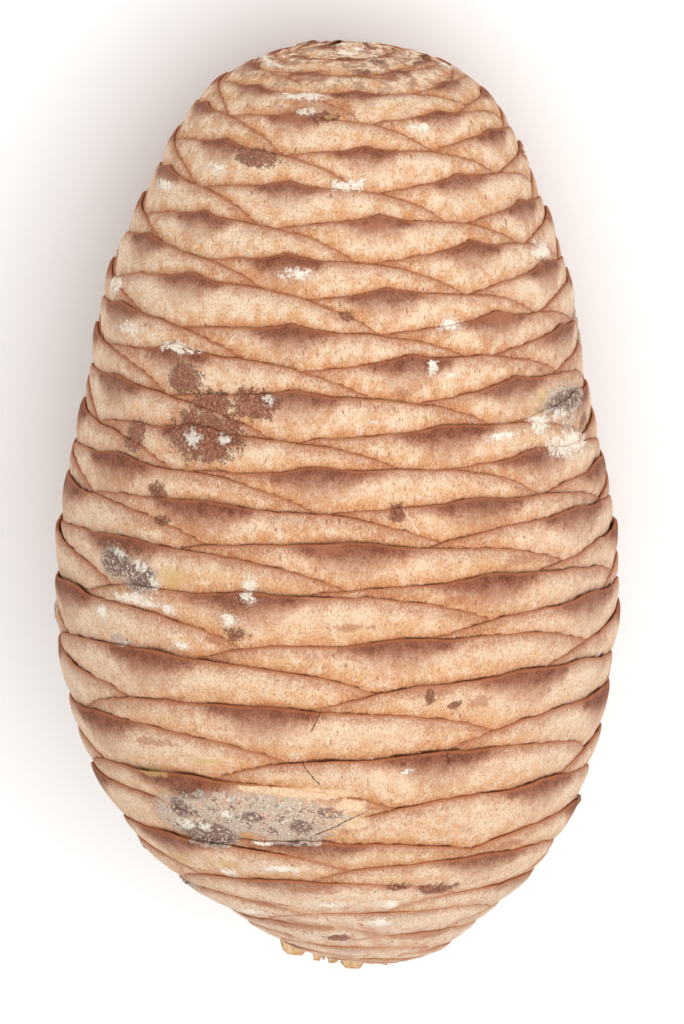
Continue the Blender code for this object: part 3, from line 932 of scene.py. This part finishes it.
def marked(s, here, shade):
    """The marks, ragged at their rims and mixed with dust, and how far crust, mould and chalk show."""
    fine = here.fine
    ragged = s.sway(here.patches, 1.9)
    broken = s.plus(ragged, s.sway(fine, 1.2))
    stained = s.mark(here.stain, s.times(broken, 1.5), 0.35, 0.80)
    shade = s.mix(s.times(stained, 0.6), shade, BAND)
    peeled = s.mark(here.wood, s.times(ragged, 0.9), 0.40, 0.70)
    bare = s.mix(s.step(s.plus(here.grain, s.sway(fine, 0.6)), 0.45, 0.6), PALE_WOOD, TAN)
    shade = s.mix(s.times(peeled, 0.8), shade, bare)

    crusted = s.mark(here.crust, s.times(broken, 1.4), 0.38, 0.62)
    resin = s.mix(s.step(fine, 0.49, 0.36), CRUST, CRUST_DARK)
    resin = s.mix(s.times(s.step(fine, 0.54, 0.64), 0.7), resin, CRUST_PALE)
    shade = s.mix(s.times(crusted, 0.9), shade, resin)

    moulded = s.mark(here.mould, s.plus(s.times(ragged, 0.8), s.sway(fine, 0.4)), 0.36, 0.60)
    purple = s.step(s.plus(here.patches, s.sway(fine, 0.45), s.times(stained, -0.2)), 0.46, 0.37)
    grey = s.mix(s.times(s.step(here.blotch, 0.46, 0.62), 0.6), MOULD, CRUST_PALE)
    grey = s.mix(s.times(purple, 0.9), grey, MOULD_DARK)
    grey = s.mix(s.times(s.step(fine, 0.53, 0.61), 0.9), grey, MOULD_PALE)
    strength = s.plus(0.94, s.times(s.step(here.patches, 0.60, 0.68), -0.5))
    shade = s.mix(s.times(moulded, strength), shade, grey)

    chalked = s.mark(here.chalk, s.times(broken, 1.6), 0.45, 1.0)
    strength = s.plus(0.5, s.times(s.step(fine, 0.36, 0.52), 0.46))
    shade = s.mix(s.times(chalked, strength), shade, CHALK)
    shade = s.mix(s.times(s.mark(here.ochre, broken, 0.3, 0.9), 0.6), shade, OCHRE)
    return shade, crusted, moulded, chalked


def scratched(s, here, shade):
    """The thin dark cracks and the pale scratch."""
    wander = s.sway(here.grain, 0.5)
    for ends in CRACKS:
        shade = s.mix(s.times(line_mask(s, here.spot, wander, ends), 0.85), shade, DARK)
    return s.mix(s.times(line_mask(s, here.spot, wander, SCRATCH), 0.7), shade, MOULD_PALE)


def scale_material():
    s = Shader("cedar_scale")
    here = scale_values(s)
    shade, smudge = edge_colours(s, here, skin_colour(s, here))
    shade = seam_colours(s, here, stippled(s, here, shade, smudge))
    shade, crusted, moulded, chalked = marked(s, here, shade)
    s.join(s.surface.inputs["Base Color"], scratched(s, here, shade))
    matt = s.plus(0.74, s.times(here.grain, 0.16), s.times(crusted, -0.26))
    s.join(s.surface.inputs["Roughness"], matt)
    s.surface.inputs["Specular IOR Level"].default_value = 0.25
    felty = s.times(here.grain, s.plus(0.6, s.times(smudge, 0.6)))
    rough = s.plus(s.times(here.streaks, 0.3), s.times(here.stipple, 0.8), felty)
    lumpy = s.times(here.fine, s.plus(s.times(crusted, 1.6), moulded, s.times(chalked, 0.5)))
    s.bump(s.plus(rough, lumpy), SKIN_RELIEF)
    return s.material


def wood_material():
    s = Shader("torn_wood")
    grain = s.noise(s.attribute("on_cone"), 2.5, 4.0, 0.6)
    s.join(s.surface.inputs["Base Color"], s.mix(s.step(grain, 0.3, 0.7), WOOD_DARK, WOOD_PALE))
    s.surface.inputs["Roughness"].default_value = 0.85
    s.bump(grain, WOOD_RELIEF)
    return s.material


def add_floor():
    bpy.ops.mesh.primitive_plane_add(size=FLOOR_SIDE)
    floor = bpy.context.object
    floor.name = "floor"
    s = Shader("pale_floor")
    s.surface.inputs["Base Color"].default_value = (0.94, 0.94, 0.94, 1.0)
    s.surface.inputs["Roughness"].default_value = 0.9
    floor.data.materials.append(s.material)


def add_lights():
    """White surroundings, and one soft square light that faces the cone from above its apex side."""
    world = bpy.data.worlds.new("studio")
    world.use_nodes = True
    background = world.node_tree.nodes["Background"]
    background.inputs["Color"].default_value = (1.0, 1.0, 1.0, 1.0)
    background.inputs["Strength"].default_value = WORLD_STRENGTH
    bpy.context.scene.world = world
    light = bpy.data.lights.new("key", "AREA")
    light.shape = "SQUARE"
    light.size = KEY_SIDE
    light.energy = KEY_POWER
    lamp = bpy.data.objects.new("key", light)
    lamp.location = KEY_PLACE
    lamp.rotation_euler = Vector(KEY_PLACE).to_track_quat("Z", "Y").to_euler()
    bpy.context.scene.collection.objects.link(lamp)
    bpy.context.scene.view_settings.view_transform = "Standard"


def add_camera():
    """A long lens at the photograph's angle: the cone's apex is up in the picture."""
    rise = math.radians(CAMERA_RISE)
    turn = LYING.to_3x3()
    back = turn @ Vector((0, -math.cos(rise), math.sin(rise)))
    up = turn @ Vector((0, math.sin(rise), math.cos(rise)))
    matrix = Matrix((up.cross(back), up, back)).transposed().to_4x4()
    matrix.translation = (LYING @ Vector(CAMERA_AIM)) * MM + back * CAMERA_DISTANCE * MM
    data = bpy.data.cameras.new("camera")
    data.sensor_fit = "VERTICAL"
    data.sensor_height = SENSOR_HEIGHT
    data.lens = data.sensor_height * CAMERA_DISTANCE / VIEW_HEIGHT
    data.clip_end = 20.0
    camera = bpy.data.objects.new("camera", data)
    camera.matrix_world = matrix
    bpy.context.scene.collection.objects.link(camera)
    bpy.context.scene.camera = camera


def main():
    material = scale_material()
    pieces = []
    bounds = np.linspace(0, SCALES, len(PIECES) + 1).astype(int)
    for name, first, following in zip(PIECES, bounds, bounds[1:]):
        pieces.append(scales_piece(name, range(first, following), material))
    pieces.append(tip_bud(material))
    pieces.append(torn_foot())
    for piece in pieces:
        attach(piece, "root")
        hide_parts("cone")
    add_floor()
    add_lights()
    add_camera()


main()
